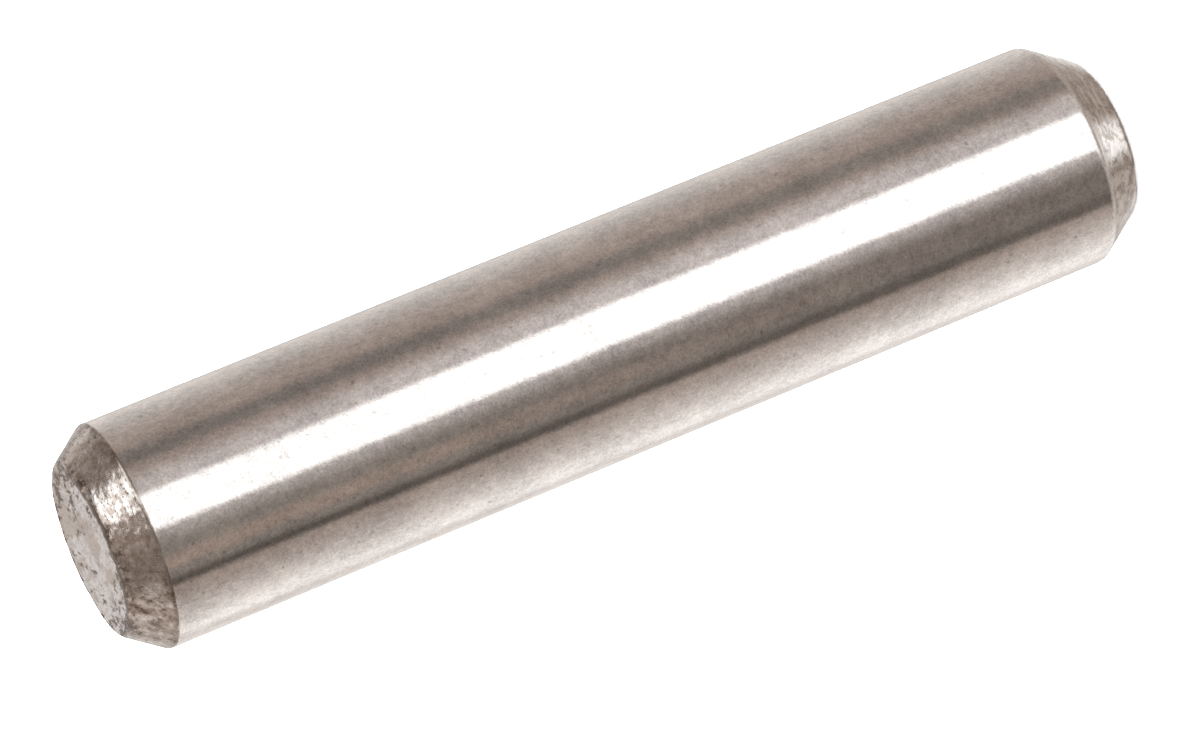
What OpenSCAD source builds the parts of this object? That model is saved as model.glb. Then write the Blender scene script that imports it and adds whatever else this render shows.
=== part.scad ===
// Wheel axle pin: one solid round pin, ground on its shank and chamfered at both ends.
// It stands on its lower end face. The axis is +Z and the origin is the centre of that face.

/* [Shank] */
// Diameter of the ground shank that the wheel or its bush turns on, in mm
shank_d = 8; // [6:0.5:16]
// Overall length from end face to end face, in mm
pin_length = 38.5; // [16:0.5:120]

/* [Lower end] */
// Length of the lower chamfer along the axis, in mm
lower_chamfer_length = 1.6; // [0.8:0.1:2.4]
// How far the lower chamfer comes in from the shank, in mm
lower_chamfer_depth = 1.1; // [0.6:0.05:1.6]

/* [Upper end] */
// Length of the upper chamfer along the axis, in mm
upper_chamfer_length = 1.3; // [0.8:0.1:2.4]
// How far the upper chamfer comes in from the shank, in mm
upper_chamfer_depth = 0.95; // [0.6:0.05:1.6]

/* [Edges] */
// Radius between the shank and the lower chamfer, which is the more worn edge, in mm
lower_shoulder_r = 0.4; // [0.1:0.05:0.6]
// Radius between the shank and the upper chamfer, in mm
upper_shoulder_r = 0.2; // [0.1:0.05:0.6]
// Radius between each chamfer and its end face, in mm
face_edge_r = 0.35; // [0.05:0.05:0.5]
// Straight steps that each edge radius is turned in
edge_steps = 6; // [3:1:12]

/* [Hidden] */
shank_r = shank_d / 2;

function unit(v) = v / norm(v);

// Turns the sharp corner b, between its neighbours a and c, into an arc of radius r that is tangent to both sides.
function rounded(a, b, c, r, n) =
    let (
        u = unit(a - b),
        w = unit(c - b),
        half = acos(u * w) / 2,
        centre = b + unit(u + w) * r / sin(half),
        from = b + u * r / tan(half) - centre,
        to = b + w * r / tan(half) - centre,
        start = atan2(from[1], from[0]),
        turn = (atan2(to[1], to[0]) - start + 540) % 360 - 180
    )
    [for (i = [0 : n]) centre + r * [cos(start + turn * i / n), sin(start + turn * i / n)]];

// Half section in (radius, height), from the centre of the lower face to the centre of the upper face.
corners = [
    [0, 0],
    [shank_r - lower_chamfer_depth, 0],
    [shank_r, lower_chamfer_length],
    [shank_r, pin_length - upper_chamfer_length],
    [shank_r - upper_chamfer_depth, pin_length],
    [0, pin_length]
];
corner_r = [0, face_edge_r, lower_shoulder_r, upper_shoulder_r, face_edge_r, 0];

section = [
    corners[0],
    for (i = [1 : 4]) each rounded(corners[i - 1], corners[i], corners[i + 1], corner_r[i], edge_steps),
    corners[5]
];

module axle_pin() {
    color([0.66, 0.63, 0.60])
        rotate_extrude($fn = 160) polygon(section);
}

axle_pin();
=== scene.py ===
import math

import bpy
import numpy as np
from mathutils import Matrix, Vector


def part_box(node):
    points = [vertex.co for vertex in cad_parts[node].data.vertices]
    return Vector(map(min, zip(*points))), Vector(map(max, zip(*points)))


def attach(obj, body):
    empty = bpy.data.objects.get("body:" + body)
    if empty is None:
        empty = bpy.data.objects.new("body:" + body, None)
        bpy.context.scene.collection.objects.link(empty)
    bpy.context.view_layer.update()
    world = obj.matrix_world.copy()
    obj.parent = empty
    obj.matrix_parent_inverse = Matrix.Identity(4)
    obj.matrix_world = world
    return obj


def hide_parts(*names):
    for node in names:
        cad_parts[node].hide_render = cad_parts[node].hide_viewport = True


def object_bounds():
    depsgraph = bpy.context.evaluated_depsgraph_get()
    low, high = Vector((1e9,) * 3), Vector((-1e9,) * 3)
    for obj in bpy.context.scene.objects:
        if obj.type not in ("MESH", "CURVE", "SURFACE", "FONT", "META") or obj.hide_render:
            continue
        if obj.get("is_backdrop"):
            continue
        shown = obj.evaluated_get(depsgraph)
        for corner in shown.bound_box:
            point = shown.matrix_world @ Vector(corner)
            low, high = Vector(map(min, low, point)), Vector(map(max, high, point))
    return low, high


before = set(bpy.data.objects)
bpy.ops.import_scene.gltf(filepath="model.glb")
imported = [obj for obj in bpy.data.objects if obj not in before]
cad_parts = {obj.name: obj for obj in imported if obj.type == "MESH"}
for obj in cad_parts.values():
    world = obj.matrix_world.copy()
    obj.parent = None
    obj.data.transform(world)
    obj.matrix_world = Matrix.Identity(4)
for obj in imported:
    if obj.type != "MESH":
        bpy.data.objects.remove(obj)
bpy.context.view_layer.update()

# ---------------------------------------------------------------- sizes, in mm
low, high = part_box("axle_pin")
LENGTH = (high[2] - low[2]) * 1000      # 38.5, from end face to end face
RADIUS = 4.0
LOW_LEN, LOW_DEEP, LOW_R = 1.6, 1.1, 0.4      # lower chamfer and its worn shoulder
UP_LEN, UP_DEEP, UP_R = 1.3, 0.95, 0.2        # upper chamfer and its shoulder
EDGE_R = 0.35                                 # between each chamfer and its face
AROUND = 400                                  # points round the pin


# ---------------------------------------------------------------- noise for the relief
def lattice(ix, iy, iz, seed):
    """A repeatable number from -1 to 1 at each whole-number place."""
    h = (ix * 374761393 + iy * 668265263 + iz * 2147483647 + seed * 1274126177) & 0xFFFFFFFF
    h = ((h ^ (h >> 13)) * 1274126177) & 0xFFFFFFFF
    h = ((h ^ (h >> 16)) * 2246822519) & 0xFFFFFFFF
    return ((h ^ (h >> 15)) & 0xFFFFFF) / float(0x7FFFFF) - 1.0


def noise(p, scale, seed):
    """Smooth value noise at points p (mm), with scale features to the mm, or three scales."""
    q = p * np.asarray(scale, float) + seed * 17.31
    i = np.floor(q).astype(np.int64)
    f = q - i
    f = f * f * f * (f * (f * 6 - 15) + 10)
    out = 0.0
    for dx in (0, 1):
        for dy in (0, 1):
            for dz in (0, 1):
                w = (
                    (f[..., 0] if dx else 1 - f[..., 0])
                    * (f[..., 1] if dy else 1 - f[..., 1])
                    * (f[..., 2] if dz else 1 - f[..., 2])
                )
                out = out + w * lattice(i[..., 0] + dx, i[..., 1] + dy, i[..., 2] + dz, seed)
    return out


def layers(p, scale, seed, octaves=3, fall=0.55):
    total, amp, norm = 0.0, 1.0, 0.0
    for k in range(octaves):
        total = total + amp * noise(p, np.asarray(scale, float) * 2.03**k, seed + k)
        norm += amp
        amp *= fall
    return total / norm


def step(x, a, b):
    t = np.clip((x - a) / (b - a), 0, 1)
    return t * t * (3 - 2 * t)


# ---------------------------------------------------------------- the turned section
def arc(a, b, c, r, n):
    """The corner b rounded to radius r: points and outward normals, from the a side to the c side."""
    a, b, c = (np.array(v, float) for v in (a, b, c))
    u, w = (a - b) / np.linalg.norm(a - b), (c - b) / np.linalg.norm(c - b)
    half = math.acos(float(u @ w)) / 2
    centre = b + (u + w) / np.linalg.norm(u + w) * r / math.sin(half)
    start = b + u * r / math.tan(half) - centre
    end = b + w * r / math.tan(half) - centre
    a0 = math.atan2(start[1], start[0])
    turn = (math.atan2(end[1], end[0]) - a0 + math.pi) % (2 * math.pi) - math.pi
    out = []
    for t in np.linspace(0, 1, n):
        d = np.array([math.cos(a0 + turn * t), math.sin(a0 + turn * t)])
        out.append((centre + r * d, d))
    return out


def line(p, q, n, ease=False):
    """n points between p and q, which are on the arcs at either side; ease sets them closer at the ends."""
    (p, _), (q, _) = p, q
    d = np.array([(q - p)[1], -(q - p)[0]])
    d /= np.linalg.norm(d)
    t = np.linspace(0, 1, n + 2)[1:-1]
    if ease:
        t = (1 - np.cos(math.pi * t)) / 2
    return [(p + (q - p) * v, d) for v in t]


corners = [
    (0, 0), (RADIUS - LOW_DEEP, 0), (RADIUS, LOW_LEN),
    (RADIUS, LENGTH - UP_LEN), (RADIUS - UP_DEEP, LENGTH), (0, LENGTH),
]
low_edge = arc(corners[0], corners[1], corners[2], EDGE_R, 8)
low_shoulder = arc(corners[1], corners[2], corners[3], LOW_R, 9)
up_shoulder = arc(corners[2], corners[3], corners[4], UP_R, 8)
up_edge = arc(corners[3], corners[4], corners[5], EDGE_R, 10)
section = (
    low_edge
    + line(low_edge[-1], low_shoulder[0], 34)
    + low_shoulder
    + line(low_shoulder[-1], up_shoulder[0], 64, ease=True)
    + up_shoulder
    + line(up_shoulder[-1], up_edge[0], 31)
    + up_edge
)
S = np.array([p for p, _ in section])      # radius, height
N = np.array([d for _, d in section])


def relief(p, z, r):
    """How far the real surface stands off the turned section at points p, in mm; minus is inwards."""
    d = np.zeros(len(p))
    up_z = LENGTH - UP_LEN
    on_up = step(z, up_z - 0.02, up_z + 0.12)
    on_low = 1 - step(z, LOW_LEN - 0.25, LOW_LEN + 0.05)
    # The upper chamfer is torn a little round its length, the lower one less.
    d += on_up * 0.0060 * layers(p, (1.5, 1.5, 3.0), 3, 2)
    d -= on_up * 0.0080 * step(layers(p, (1.5, 1.5, 4.5), 5, 2), 0.20, 0.50)
    d += on_low * 0.0026 * layers(p, (1.4, 1.4, 5.0), 11, 3)
    # Small chips on the chamfer side of its shoulder.
    near = np.exp(-(((z - up_z - 0.07) / 0.09) ** 2)) * step(z, up_z - 0.04, up_z + 0.03)
    d -= near * 0.014 * step(layers(p, (2.0, 2.0, 1.6), 23, 3), 0.05, 0.50)
    near = np.exp(-(((z - LOW_LEN + 0.10) / 0.20) ** 2)) * on_low
    d -= near * 0.012 * step(layers(p, (1.6, 1.6, 1.2), 29, 3), 0.0, 0.6)
    # The rim of the upper face is ragged: nicks, and between them a small burr.
    near = np.exp(-(((r - (RADIUS - UP_DEEP)) / 0.14) ** 2)) * step(z, LENGTH - 0.32, LENGTH - 0.10)
    ragged = 0.6 * layers(p, (1.5, 1.5, 1.0), 31, 3) + 0.5 * layers(p, (0.5, 0.5, 0.5), 33, 2)
    d += near * (0.012 * np.clip(ragged, 0, 1) - 0.050 * step(ragged, -0.04, -0.42))
    near = np.exp(-(((r - (RADIUS - LOW_DEEP)) / 0.13) ** 2)) * (1 - step(z, 0.12, 0.3))
    d -= near * 0.03 * step(layers(p, (1.5, 1.5, 1.0), 37, 3), 0.0, 0.6)
    # The shank is round and straight to a few microns.
    on_shank = step(z, LOW_LEN, LOW_LEN + 0.5) * (1 - step(z, up_z - 0.5, up_z - 0.02))
    d += on_shank * 0.0011 * layers(p, (0.40, 0.40, 0.22), 41, 2)
    return d


def face_relief(p, deep):
    """The end faces: cut rough, with pits, and with a shallow hollow towards the middle."""
    r = np.hypot(p[:, 0], p[:, 1])
    d = 0.010 * layers(p, 0.8, 53, 2) + 0.010 * layers(p, 2.2, 59, 3)
    d -= deep * 0.050 * step(layers(p, 1.7, 61, 3), 0.22, 0.60)
    d -= 0.010 * (1 - (r / 3.0) ** 2)
    return d - 0.012


# ---------------------------------------------------------------- the mesh
turn = np.arange(AROUND) * 2 * math.pi / AROUND
verts, faces = [], []


def add_ring(points):
    first = sum(len(v) for v in verts)
    verts.append(points)
    return first


rings = []
for (r, z), (nr, nz) in zip(S, N):
    p = np.stack([r * np.cos(turn), r * np.sin(turn), np.full(AROUND, z)], 1)
    n = np.stack([nr * np.cos(turn), nr * np.sin(turn), np.full(AROUND, nz)], 1)
    d = relief(p, p[:, 2], np.full(AROUND, r))
    rings.append(add_ring(p + n * d[:, None]))
for a, b in zip(rings, rings[1:]):
    for i in range(AROUND):
        j = (i + 1) % AROUND
        faces.append((a + i, a + j, b + j, b + i))


def cap(rim_ring, rim_r, z, up, fine):
    """An end face inside the rim, whose rings have half the points each time the radius halves."""
    count, r, previous = AROUND, rim_r, rim_ring
    gap = 2 * math.pi * rim_r / AROUND * fine
    while True:
        r -= gap
        if r < gap * 1.5:
            break
        halve = r < rim_r * 0.55 * count / AROUND and count > 25
        new_count = count // 2 if halve else count
        if halve:
            gap *= 1.5 if gap < 0.2 else 1.0
        t = np.arange(new_count) * 2 * math.pi / new_count
        p = np.stack([r * np.cos(t), r * np.sin(t), np.full(new_count, z)], 1)
        d = face_relief(p, 1.0 if up else 0.6)
        blend = step(rim_r - r, 0.0, 0.22)
        p[:, 2] += (1 if up else -1) * (d * blend)
        if not up:
            p[:, 2] = np.maximum(p[:, 2], 0.0)
        first = add_ring(p)
        for i in range(new_count):
            j = (i + 1) % new_count
            if halve:
                a, b, c = previous + 2 * i, previous + 2 * i + 1, previous + (2 * i + 2) % count
                tri = [(first + i, a, b), (first + i, b, first + j), (first + j, b, c)]
            else:
                tri = [(previous + i, previous + j, first + j, first + i)]
            for f in tri:
                faces.append(f if up else f[::-1])
        count, previous = new_count, first
    centre = np.array([[0, 0, z]], float)
    centre[:, 2] += (1 if up else -1) * face_relief(centre, 1.0)
    if not up:
        centre[:, 2] = np.maximum(centre[:, 2], 0.0)
    first = add_ring(centre)
    for i in range(count):
        j = (i + 1) % count
        faces.append((previous + i, previous + j, first) if up else (previous + j, previous + i, first))


cap(rings[-1], S[-1][0], LENGTH, True, 1.0)
cap(rings[0], S[0][0], 0.0, False, 1.6)
points = np.concatenate(verts)
points[:, 2] = np.clip(points[:, 2], 0.0, LENGTH + 0.02)

mesh = bpy.data.meshes.new("axle_pin_steel")
mesh.from_pydata((points / 1000).tolist(), [], faces)
mesh.validate()
mesh.update()
pin = bpy.data.objects.new("axle_pin_steel", mesh)
bpy.context.collection.objects.link(pin)
mesh.shade_smooth()

# A flat layout of the surface: the sides unrolled into one sheet, with the two end faces beside it, larger.
loop_vert = np.zeros(len(mesh.loops), np.int32)
mesh.loops.foreach_get("vertex_index", loop_vert)
starts = np.zeros(len(mesh.polygons), np.int32)
mesh.polygons.foreach_get("loop_start", starts)
totals = np.zeros(len(mesh.polygons), np.int32)
mesh.polygons.foreach_get("loop_total", totals)
side_verts = AROUND * len(rings)
along = np.concatenate([[0.0], np.cumsum(np.hypot(*np.diff(S, axis=0).T))])
SHEET = 40.0                                   # mm of surface across the layout
uv = np.zeros((len(loop_vert), 2))
on_side = loop_vert < side_verts
column, row = loop_vert % AROUND, np.minimum(loop_vert // AROUND, len(rings) - 1)
uv[:, 0] = (column / AROUND * 2 * math.pi * RADIUS + 0.4) / SHEET
uv[:, 1] = (along[row] + 0.4) / SHEET
for first, total in zip(starts, totals):
    loops = slice(first, first + total)
    if on_side[loops].all():
        if np.ptp(column[loops]) > AROUND / 2:         # the sheet's seam
            last = column[loops] == 0
            uv[loops, 0] += np.where(last, 2 * math.pi * RADIUS / SHEET, 0.0)
    else:
        v = points[loop_vert[loops]]
        top = v[:, 2].mean() > LENGTH / 2
        uv[loops, 0] = (32.9 + v[:, 0] * 2.0) / SHEET
        uv[loops, 1] = ((30.0 if top else 10.0) + v[:, 1] * 2.0) / SHEET
layer = mesh.uv_layers.new(name="OFBake")
layer.data.foreach_set("uv", uv.astype(np.float32).ravel())


# ---------------------------------------------------------------- small node language
class Net:
    """Shader nodes written as calls, so that a material reads like a formula."""

    def __init__(self, tree):
        self.tree = tree
        tree.nodes.clear()

    def node(self, kind, **settings):
        made = self.tree.nodes.new(kind)
        for k, v in settings.items():
            setattr(made, k, v)
        return made

    def put(self, socket, value):
        if hasattr(value, "links") or hasattr(value, "is_output"):
            self.tree.links.new(value, socket)
        elif value is not None:
            socket.default_value = value

    def m(self, op, a, b=None, c=None, clamp=False):
        n = self.node("ShaderNodeMath", operation=op, use_clamp=clamp)
        for s, v in zip(n.inputs, (a, b, c)):
            self.put(s, v)
        return n.outputs[0]

    def v(self, op, a, b=None, scale=None):
        n = self.node("ShaderNodeVectorMath", operation=op)
        self.put(n.inputs[0], a)
        self.put(n.inputs[1], b)
        if scale is not None:
            self.put(n.inputs["Scale"], scale)
        return n.outputs[0]

    def span(self, value, a, b, c=0.0, d=1.0, smooth=True):
        n = self.node("ShaderNodeMapRange", interpolation_type="SMOOTHSTEP" if smooth else "LINEAR")
        for s, x in zip(n.inputs, (value, a, b, c, d)):
            self.put(s, x)
        return n.outputs[0]

    def noise(self, at, scale, detail=2.0, rough=0.5, twist=0.0):
        n = self.node("ShaderNodeTexNoise")
        self.put(n.inputs["Vector"], at)
        n.inputs["Scale"].default_value = scale
        n.inputs["Detail"].default_value = detail
        n.inputs["Roughness"].default_value = rough
        n.inputs["Distortion"].default_value = twist
        return n.outputs["Fac"]

    def cells(self, at, scale, random=1.0):
        n = self.node("ShaderNodeTexVoronoi")
        self.put(n.inputs["Vector"], at)
        n.inputs["Scale"].default_value = scale
        n.inputs["Randomness"].default_value = random
        return n.outputs["Distance"], n.outputs["Color"]

    def colour(self, fac, a, b, kind="MIX"):
        n = self.node("ShaderNodeMix", data_type="RGBA", blend_type=kind)
        self.put(n.inputs[0], fac)
        for s, v in ((n.inputs[6], a), (n.inputs[7], b)):
            self.put(s, (*v, 1) if isinstance(v, tuple) and len(v) == 3 else v)
        return n.outputs[2]

    def ramp(self, fac, stops, how="LINEAR"):
        n = self.node("ShaderNodeValToRGB")
        self.put(n.inputs[0], fac)
        r = n.color_ramp
        r.interpolation = how
        while len(r.elements) < len(stops):
            r.elements.new(1.0)
        for e, (at, c) in zip(r.elements, stops):
            e.position = at
            e.color = (*c, 1) if len(c) == 3 else c
        return n.outputs[0]

    def split(self, vec):
        n = self.node("ShaderNodeSeparateXYZ")
        self.put(n.inputs[0], vec)
        return n.outputs[0], n.outputs[1], n.outputs[2]

    def join(self, x, y, z):
        n = self.node("ShaderNodeCombineXYZ")
        for s, v in zip(n.inputs, (x, y, z)):
            self.put(s, v)
        return n.outputs[0]

    def grey(self, value):
        return self.join(value, value, value)


# ---------------------------------------------------------------- steel
steel = bpy.data.materials.new("ground_steel")
steel.use_nodes = True
g = Net(steel.node_tree)
place = g.node("ShaderNodeTexCoord").outputs["Object"]
at = g.v("SCALE", place, scale=1000.0)          # mm
x, y, z = g.split(at)
r = g.m("SQRT", g.m("ADD", g.m("MULTIPLY", x, x), g.m("MULTIPLY", y, y)))


def round_pin(across, up):
    """A place squeezed so that a pattern there runs round the pin."""
    return g.join(g.m("MULTIPLY", x, across), g.m("MULTIPLY", y, across), g.m("MULTIPLY", z, up))


def mixed(*parts):
    """Patterns summed by their shares."""
    total = None
    for pattern, share in parts:
        part = g.m("MULTIPLY", pattern, share)
        total = part if total is None else g.m("ADD", total, part)
    return total


def no(value):
    return g.m("SUBTRACT", 1.0, value)


def band(value, a, b, c, d):
    return g.m("MULTIPLY", g.span(value, a, b), g.span(value, c, d, 1.0, 0.0))


UP_Z, UP_FACE_R, LOW_FACE_R = LENGTH - UP_LEN, RADIUS - UP_DEEP, RADIUS - LOW_DEEP

# Where each surface is, with ragged borders.
rag = g.m("SUBTRACT", g.noise(at, 3.6, 4, 0.65), 0.5)
on_upper = g.span(g.m("ADD", z, g.m("MULTIPLY", rag, 0.10)), UP_Z - 0.085, UP_Z - 0.045)
on_lower = g.span(g.m("ADD", z, g.m("MULTIPLY", rag, 0.20)), LOW_LEN + 0.02, LOW_LEN - 0.22)
sheared = g.join(x, g.m("MULTIPLY", y, 0.42), z)        # the cut faces are marked along Y
torn_rim = g.m("SUBTRACT", g.noise(sheared, 3.0, 4, 0.66), 0.5)
rim_r = g.m("MULTIPLY_ADD", torn_rim, 1.1, r)
on_face = g.m("MULTIPLY", g.m("LESS_THAN", rim_r, UP_FACE_R - 0.10), g.span(z, LENGTH - 0.20, LENGTH - 0.15))
on_foot = g.m("MULTIPLY", g.m("LESS_THAN", r, LOW_FACE_R), g.span(z, 0.20, 0.15))
on_end = g.m("ADD", on_face, on_foot, clamp=True)
on_chamfer = g.m("ADD", on_upper, on_lower, clamp=True)

# Patterns that several surfaces share, by the size of what they draw.
grain = g.noise(at, 14.0, 2, 0.60)
mid = g.noise(at, 5.5, 3, 0.60)
patch = g.noise(at, 2.6, 3, 0.55)
cloud = g.noise(at, 0.5, 2, 0.5)
mottle = g.noise(at, 2.4, 5, 0.68)
speck = g.noise(at, 10.0, 3, 0.65)

# Shank: grain, patches and slow clouds, dark spots of three sizes with uneven borders, and fine scuffs.
tone = g.m("ADD", mixed((grain, 0.88), (mid, 0.58), (patch, 0.46), (cloud, 0.45)), -0.195)
uneven = g.m("MULTIPLY", g.m("SUBTRACT", g.noise(at, 9.0, 2, 0.6), 0.5), 0.30)


def spots(scale, small, more, share, soft):
    """Dark spots: how many to the mm, their least radius and how much more, the share of cells that hold one."""
    far, who = g.cells(at, scale)
    pick, size, _ = g.split(who)
    inside = g.m("SUBTRACT", g.m("MULTIPLY_ADD", size, more, small), g.m("ADD", far, uneven))
    return g.m("MULTIPLY", g.span(inside, 0.0, soft), g.m("GREATER_THAN", pick, 1.0 - share))


pit = g.m("MAXIMUM", spots(1.15, 0.03, 0.08, 0.34, 0.05), g.m("MULTIPLY", spots(2.0, 0.05, 0.15, 0.45, 0.07), 0.65))
pit = g.m("MAXIMUM", pit, g.m("MULTIPLY", spots(4.2, 0.08, 0.20, 0.50, 0.10), 0.42))
thread = g.m("ABSOLUTE", g.m("SUBTRACT", g.noise(at, 1.7, 2, 0.6, 0.8), 0.5))
scuff = g.m("MULTIPLY", g.span(thread, 0.002, 0.006, 1.0, 0.0), g.span(g.noise(at, 1.1, 2, 0.5), 0.60, 0.66))
tone = g.m("MULTIPLY", tone, g.span(pit, 0.0, 1.0, 1.0, 0.66))
tone = g.m("MULTIPLY", tone, g.span(scuff, 0.0, 1.0, 1.0, 0.74))
tint = g.colour(g.noise(at, 3.4, 3, 0.6), (0.985, 1.005, 1.02), (1.015, 0.995, 0.98))
shank = g.colour(1.0, g.colour(1.0, (0.62, 0.585, 0.555), g.grey(tone), "MULTIPLY"), tint, "MULTIPLY")

# Upper chamfer: brown oxide over torn steel, with dark flecks that run round the pin, or on one side every way.
aside = g.span(g.m("ADD", x, rag), -1.1, -1.5)
fleck = g.m("MULTIPLY", g.noise(round_pin(1.0, 3.6), 3.3, 3, 0.60), no(aside))
fleck = g.m("MULTIPLY_ADD", g.noise(at, 4.6, 3, 0.60), aside, fleck)
blotch = g.noise(at, 1.9, 5, 0.68)
stained = g.m("ADD", g.span(x, -1.1, -2.4, 0.0, 0.72), g.span(x, 2.8, 3.4, 0.0, 0.70))
blend = g.m("ADD", mixed((mottle, 0.46), (fleck, 0.20), (speck, 0.22)), 0.06)
blend = g.m("MULTIPLY_ADD", g.m("SUBTRACT", blotch, 0.5), stained, blend)
upper = g.ramp(blend, [
    (0.36, (0.17, 0.132, 0.11)), (0.45, (0.27, 0.217, 0.184)),
    (0.53, (0.37, 0.318, 0.284)), (0.63, (0.57, 0.535, 0.505)),
])
gaps = g.m("MULTIPLY", g.span(fleck, 0.34, 0.44, 1.0, 0.0), g.span(speck, 0.38, 0.52))
upper = g.colour(g.m("MULTIPLY", g.span(g.noise(at, 1.3, 4, 0.65), 0.53, 0.63), 0.45), upper, (0.52, 0.465, 0.41))
upper = g.colour(g.m("MULTIPLY", gaps, 0.75), upper, (0.11, 0.084, 0.068))
# On one side it is rubbed bright, in flakes; the paler flakes there are also a painted highlight where the key light's
# flash falls, with painted darker gaps between them.
rubbed_and_painted_flash = g.m("MULTIPLY", band(x, 0.3, 0.8, 1.55, 2.0), g.span(y, -1.5, -2.5))
flake = g.span(g.noise(round_pin(1.0, 1.8), 2.6, 3, 0.62), 0.45, 0.50)
upper = g.colour(g.m("MULTIPLY", rubbed_and_painted_flash, g.m("MULTIPLY", flake, 0.80)), upper, (0.42, 0.392, 0.365))
upper = g.colour(g.m("MULTIPLY", rubbed_and_painted_flash, g.m("MULTIPLY", no(flake), 0.50)), upper, (0.18, 0.145, 0.122))
edge = g.m("MULTIPLY", band(z, UP_Z - 0.09, UP_Z - 0.04, UP_Z + 0.02, UP_Z + 0.10), g.span(g.noise(at, 0.8, 2, 0.5), 0.44, 0.58, 0.15, 1.0))
worn = g.m("MULTIPLY", band(z, UP_Z - 0.05, UP_Z + 0.02, UP_Z + 0.08, UP_Z + 0.40), g.span(g.noise(at, 1.4, 3, 0.6), 0.46, 0.60))
worn = g.m("ADD", g.m("MULTIPLY", worn, 0.45), g.m("MULTIPLY", edge, g.span(speck, 0.42, 0.62, 0.10, 0.70)), clamp=True)
upper = g.colour(worn, upper, (0.125, 0.097, 0.078))
rim = g.m("MULTIPLY", band(rim_r, UP_FACE_R - 0.24, UP_FACE_R - 0.16, UP_FACE_R + 0.02, UP_FACE_R + 0.12), g.span(g.noise(sheared, 1.6, 4, 0.6), 0.34, 0.46))

# Lower chamfer: fine turning lines, paler.
lines = g.noise(round_pin(0.60, 2.8), 2.4, 4, 0.60)
rub = g.span(g.noise(at, 0.42, 2, 0.5), 0.42, 0.58)
lower = g.colour(g.span(mixed((lines, 0.16), (mottle, 0.50), (speck, 0.34)), 0.38, 0.60), (0.32, 0.275, 0.24), (0.56, 0.515, 0.475))
lower = g.colour(g.m("MULTIPLY", g.span(g.m("ADD", lines, g.m("MULTIPLY", rub, 0.10)), 0.62, 0.70), 0.45), lower, (0.74, 0.70, 0.665))
low_blend = g.m("MULTIPLY", g.m("SUBTRACT", blotch, 0.5), g.m("MULTIPLY", g.span(x, 0.3, -1.9, 0.2, 1.6), g.span(x, -2.6, -3.1, 1.0, 0.25)))
lower = g.colour(g.m("MULTIPLY", g.span(low_blend, 0.00, 0.09), 0.78), lower, (0.30, 0.255, 0.222))
lower = g.colour(g.m("MULTIPLY", g.span(low_blend, -0.01, -0.09), 0.58), lower, (0.66, 0.615, 0.575))
# A paler, mottled patch where the steel is rubbed, which is also a painted highlight where the key light's flash falls
# on the lower chamfer.
rub_and_painted_glint = g.m("MULTIPLY", band(x, -1.30, -0.85, 0.35, 0.70), g.span(y, -1.5, -2.5))
lower = g.colour(g.m("MULTIPLY", rub_and_painted_glint, g.span(mottle, 0.40, 0.52, 0.10, 0.70)), lower, (0.76, 0.725, 0.69))
heel = band(r, LOW_FACE_R - 0.10, LOW_FACE_R - 0.02, LOW_FACE_R + 0.06, LOW_FACE_R + 0.14)
lower = g.colour(g.m("MULTIPLY", heel, 0.6), lower, (0.15, 0.12, 0.10))

# End faces: pale cut steel, warm in places, with brown-grey blotches and many small specks.
warm = g.span(g.m("ADD", g.noise(sheared, 0.7, 3, 0.55), g.m("MULTIPLY", x, 0.05)), 0.50, 0.60)
end = g.colour(warm, (0.64, 0.62, 0.61), (0.50, 0.455, 0.42))
end = g.colour(g.m("MULTIPLY", g.span(g.noise(sheared, 1.9, 5, 0.70), 0.50, 0.64), 0.62), end, (0.34, 0.295, 0.262))
end = g.colour(g.m("MULTIPLY", g.span(g.noise(sheared, 8.0, 3, 0.65), 0.46, 0.64), 0.42), end, (0.31, 0.262, 0.228))
crowd = g.m("ADD", g.noise(sheared, 0.8, 2, 0.5), g.span(r, 1.4, 2.9, -0.05, 0.13))
dots = g.span(g.m("ADD", g.noise(g.v("ADD", sheared, (3.7, 9.1, 0.0)), 4.2, 4, 0.66), g.m("MULTIPLY", crowd, 0.34)), 0.71, 0.82)
end = g.colour(g.m("MULTIPLY", dots, 0.90), end, (0.12, 0.085, 0.066))

base = g.colour(on_upper, shank, upper)
base = g.colour(on_lower, base, lower)
base = g.colour(on_end, base, end)
base = g.colour(g.m("MULTIPLY", g.m("MULTIPLY", rim, on_upper), 0.85), base, (0.10, 0.076, 0.06))

rough = g.m("ADD", 0.085, g.m("MULTIPLY", patch, 0.03))
rough_ch = g.m("ADD", 0.11, g.m("ADD", g.m("MULTIPLY", mottle, 0.16), g.m("MULTIPLY", gaps, 0.25)))
rough = g.m("ADD", g.m("MULTIPLY", rough, no(on_chamfer)), g.m("MULTIPLY", on_chamfer, rough_ch))
rough = g.m("ADD", g.m("MULTIPLY", rough, no(on_end)), g.m("MULTIPLY", on_end, 0.52))
rough = g.m("ADD", rough, g.m("MULTIPLY", pit, 0.04), clamp=True)
dull = band(z, LOW_LEN - 0.34, LOW_LEN - 0.20, LOW_LEN + 0.02, LOW_LEN + 0.16)       # the worn lower shoulder
rough = g.m("ADD", rough, g.m("MULTIPLY", dull, 0.16), clamp=True)

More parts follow.
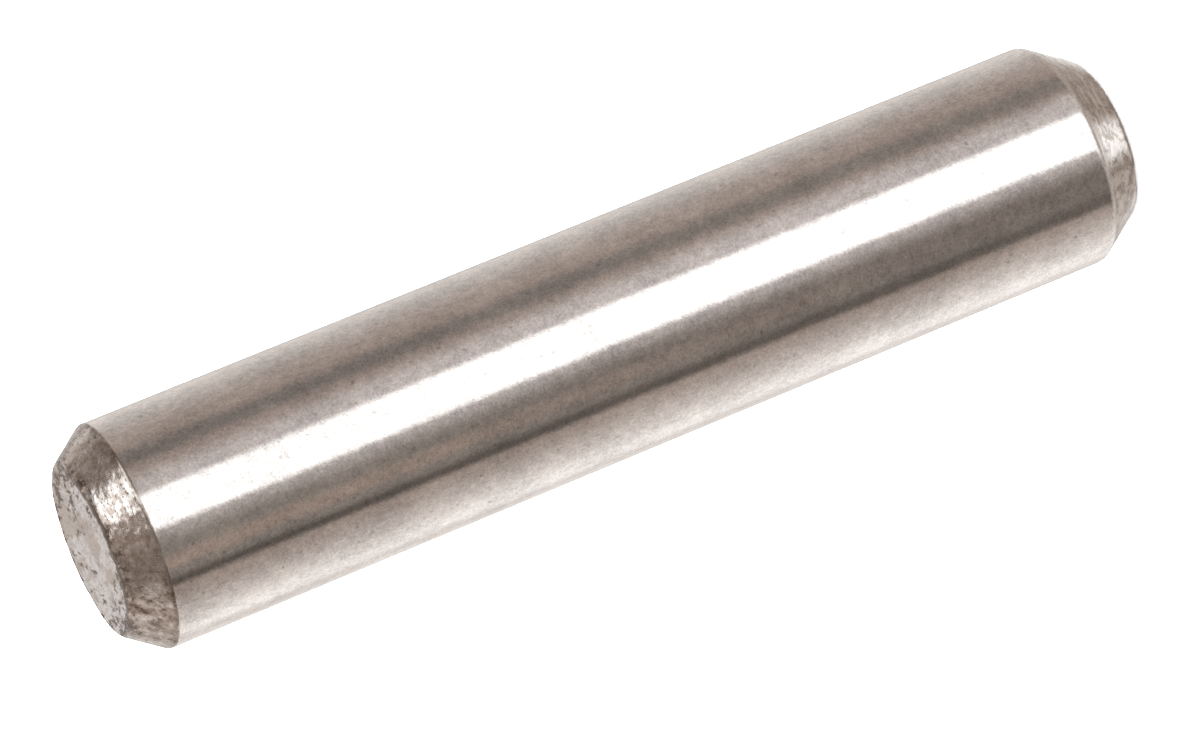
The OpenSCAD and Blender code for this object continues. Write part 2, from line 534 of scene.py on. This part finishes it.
# Relief too fine for the mesh, in mm.
ticks = g.noise(round_pin(0.8, 2.2), 4.5, 2, 0.55)
fine = g.m("ADD", mixed((ticks, 0.0011), (patch, 0.0028), (grain, 0.0002)), -0.00205)
torn = g.m("ADD", mixed((g.noise(at, 2.6, 1, 0.5), 0.020), (fleck, 0.011), (speck, 0.0008)), -0.0159)
torn = g.m("SUBTRACT", torn, g.m("MULTIPLY", gaps, 0.008))
turned = g.m("ADD", mixed((lines, 0.0030), (g.noise(at, 2.2, 1, 0.5), 0.0150)), -0.0090)
cut = g.m("ADD", mixed((g.noise(at, 6.0, 4, 0.65), 0.040), (dots, -0.010)), -0.020)
far_up, far_down = g.span(z, UP_Z - 0.06, UP_Z + 0.16), g.span(z, LOW_LEN + 0.06, LOW_LEN - 0.26)
inside = g.span(r, UP_FACE_R, UP_FACE_R - 0.24)
height = g.m("MULTIPLY", fine, no(g.m("ADD", far_up, far_down)))
height = g.m("ADD", height, g.m("ADD", g.m("MULTIPLY", far_up, torn), g.m("MULTIPLY", far_down, turned)))
height = g.m("ADD", g.m("MULTIPLY", height, no(inside)), g.m("MULTIPLY", cut, inside))
height = g.m("SUBTRACT", height, g.m("MULTIPLY", pit, 0.0003))
bump = g.node("ShaderNodeBump")
bump.inputs["Strength"].default_value = 1.0
bump.inputs["Distance"].default_value = 0.001
g.put(bump.inputs["Height"], height)

shader = g.node("ShaderNodeBsdfPrincipled")
g.put(shader.inputs["Base Color"], base)
g.put(shader.inputs["Roughness"], rough)
g.put(shader.inputs["Normal"], bump.outputs[0])
shader.inputs["Metallic"].default_value = 1.0
out = g.node("ShaderNodeOutputMaterial")
g.tree.links.new(shader.outputs[0], out.inputs[0])
mesh.materials.append(steel)

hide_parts("axle_pin")
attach(pin, "root")


# ---------------------------------------------------------------- floor with a raised rim, as in a light tent
paper = bpy.data.materials.new("white_paper")
paper.use_nodes = True
g = Net(paper.node_tree)
shader = g.node("ShaderNodeBsdfPrincipled")
weave = g.noise(g.node("ShaderNodeTexCoord").outputs["Object"], 900.0, 2)
g.put(shader.inputs["Base Color"], g.colour(weave, (0.84, 0.84, 0.84), (0.86, 0.86, 0.86)))
shader.inputs["Roughness"].default_value = 0.9
shader.inputs["Specular IOR Level"].default_value = 0.0
out = g.node("ShaderNodeOutputMaterial")
g.tree.links.new(shader.outputs[0], out.inputs[0])

outline = [(0.0, 0.0), (0.1, 0.0), (0.3, 0.0), (0.5, 0.0)]
outline += [(0.5 + 0.2 * math.sin(t), 0.2 - 0.2 * math.cos(t)) for t in np.linspace(0.08, math.pi / 2, 16)]
outline += [(0.7, 0.4), (0.7, 0.7)]
fv, ff = [(0, 0, 0)], []
seg = 96
for rr, zz in outline[1:]:
    fv += [(rr * math.cos(2 * math.pi * i / seg), rr * math.sin(2 * math.pi * i / seg), zz) for i in range(seg)]
for i in range(seg):
    ff.append((0, 1 + i, 1 + (i + 1) % seg))
for k in range(len(outline) - 2):
    a, b = 1 + k * seg, 1 + (k + 1) * seg
    ff += [(a + i, b + i, b + (i + 1) % seg, a + (i + 1) % seg) for i in range(seg)]
fm = bpy.data.meshes.new("floor")
fm.from_pydata(fv, [], ff)
fm.shade_smooth()
fm.materials.append(paper)
floor = bpy.data.objects.new("floor", fm)
bpy.context.collection.objects.link(floor)
floor.visible_glossy = False
floor.visible_shadow = False
floor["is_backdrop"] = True


# ---------------------------------------------------------------- light
def area(name, place, aim, size, watts, colour=(1, 1, 1)):
    data = bpy.data.lights.new(name, "AREA")
    data.shape = "DISK"
    data.size = size
    data.energy = watts
    data.color = colour
    lamp = bpy.data.objects.new(name, data)
    bpy.context.collection.objects.link(lamp)
    lamp.location = place
    lamp.rotation_mode = "QUATERNION"
    lamp.rotation_quaternion = (Vector(aim) - Vector(place)).to_track_quat("-Z", "Y")
    lamp.visible_glossy = False
    lamp.visible_camera = False
    return lamp


area("overhead", (0, 0, 1.1), (0, 0, 0), 1.4, 60.0)

# The tent is a pale room with cards and lamps that stand round the pin. Each card is given by where its two soft
# edges begin and end, and by its light; a later card stands in front of the ones before it. Walls and roof are
# placed by compass bearing in degrees, 0 towards the camera and positive towards +X; what lies under by its X.
# A wall card may also say how far each edge leans, in degrees of bearing per degree of height, its light lower down,
# and the heights over which its top fades; a card that lies under, its length along Y.
WALL_BASE = (0.84, 0.82, 0.81)
WALL = [
    (118, 154, 154, 160, (0.92, 0.865, 0.83)),     # right scrim
    (153, 160, 166, 174, (0.79, 0.76, 0.74)),      # its shaded side
    (-176, -164, -112, -62, (0.98, 0.93, 0.90)),   # left wall
    (-150, -134, -128, -102, (1.30, 1.27, 1.26), (1.0, 0.0)),                   # left scrim
    (-112, -66, 84, 150, (0.50, 0.42, 0.38)),      # dim front of the room
    (54, 68, 72, 90, (0.28, 0.25, 0.238), (0.3, 0.0), (0.34, 0.303, 0.285)),    # gap right of the key
    (-32, -16, 40, 60, (0.80, 0.745, 0.74), (0.0, -0.4)),                       # spill beside the key
    (-66, -58, -32, -1, (0.33, 0.295, 0.27), (0.0, 1.1), (0.28, 0.247, 0.228)),       # brown card
    (-50, -42, -38, -28, (0.46, 0.37, 0.322), (0.0, 0.0), (0.27, 0.238, 0.22)),       # its lighter strip
    (-70.5, -62.5, -60, -51, (0.13, 0.112, 0.10), (0.6, 0.0), (0.19, 0.167, 0.152)),     # dark gap beside it
    (-10.5, -3.5, 26, 34, (1.95, 1.97, 2.0), (0.45, 0.0), (2.2, 2.24, 2.3)),  # key softbox
    (150, 160, 190, 200, (1.18, 1.17, 1.15), (0, 0), (1.18, 1.17, 1.15), (-23, -32)),     # light ground behind, right
    (-200, -190, -170, -154, (0.62, 0.60, 0.585), (0, 0), (0.62, 0.60, 0.585), (-16, -26)),   # and shade, left
]
ROOF_BASE = (1.05, 0.98, 0.94)
ROOF = [
    (-104, -66, 114, 142, (0.49, 0.445, 0.42)),    # dim front
    (-62, -20, 20, 34, (0.66, 0.59, 0.55)),        # spill beside the key
    (22, 28, 70, 78, (3.0, 3.12, 3.24)),           # key softbox, leaning over
]
UNDER_BASE = (0.56, 0.50, 0.46)
UNDER = [
    (-9.5, -9.0, -0.36, -0.27, (0.70, 0.635, 0.60)),   # left scrim, low
    (0.08, 0.16, 9.0, 9.5, (0.60, 0.525, 0.48)),       # right scrim, low
    (-0.26, -0.18, 0.02, 0.18, (1.74, 1.75, 1.80), (0, 0), (1.74, 1.75, 1.80), (-0.17, -0.11, 0.06, 0.13)),   # key, low
]
world = bpy.data.worlds.new("tent")
world.use_nodes = True
bpy.context.scene.world = world
g = Net(world.node_tree)
dx, dy, dz = g.split(g.node("ShaderNodeTexCoord").outputs["Generated"])
bearing = g.m("MULTIPLY", g.m("ARCTAN2", dx, g.m("MULTIPLY", dy, -1.0)), 180 / math.pi)
rise = g.m("MULTIPLY", g.m("ARCSINE", dz), 180 / math.pi)


lower_down = g.span(rise, -13, -23)
above = g.m("ADD", rise, 18.0)


def cards(where, base, standing):
    light = None
    for a, b, c, d, colour, *more in standing:
        lean = more[0] if more else (0, 0)
        first, last = [g.m("SUBTRACT", where, g.m("MULTIPLY", above, v)) if v else where for v in lean]
        mask = g.m("MULTIPLY", g.span(first, a, b), g.span(last, c, d, 1.0, 0.0))
        if len(more) > 2:
            mask = g.m("MULTIPLY", mask, band(dy, *more[2]) if len(more[2]) == 4 else g.span(rise, *more[2]))
        if len(more) > 1:
            colour = g.colour(lower_down, colour, more[1])
        light = g.colour(mask, base if light is None else light, colour)
    return light


light = g.colour(g.span(rise, -58, -30), cards(dx, UNDER_BASE, UNDER), cards(bearing, WALL_BASE, WALL))
light = g.colour(g.span(rise, 2, 34), light, cards(bearing, ROOF_BASE, ROOF))
light = g.colour(g.span(rise, 66, 84), light, (0.90, 0.88, 0.87))
back = g.node("ShaderNodeBackground")
g.put(back.inputs[0], light)
out = g.node("ShaderNodeOutputWorld")
g.tree.links.new(back.outputs[0], out.inputs[0])

# ---------------------------------------------------------------- camera
data = bpy.data.cameras.new("camera")
data.sensor_width = 36.0
data.sensor_fit = "HORIZONTAL"
data.lens = 185.73
data.clip_start, data.clip_end = 0.01, 10.0
camera = bpy.data.objects.new("camera", data)
bpy.context.collection.objects.link(camera)
right = Vector((-0.378799, -0.278678, -0.882525))
up = Vector((0.925467, -0.109166, -0.362759))
away = Vector((0.004752, -0.954160, 0.299259))
camera.matrix_world = Matrix((
    (right.x, up.x, away.x, 0.0),
    (right.y, up.y, away.y, -0.199525),
    (right.z, up.z, away.z, 0.082477),
    (0, 0, 0, 1),
))
bpy.context.scene.camera = camera
bpy.context.scene.view_settings.view_transform = "Standard"
bpy.context.scene.view_settings.look = "None"

low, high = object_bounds()
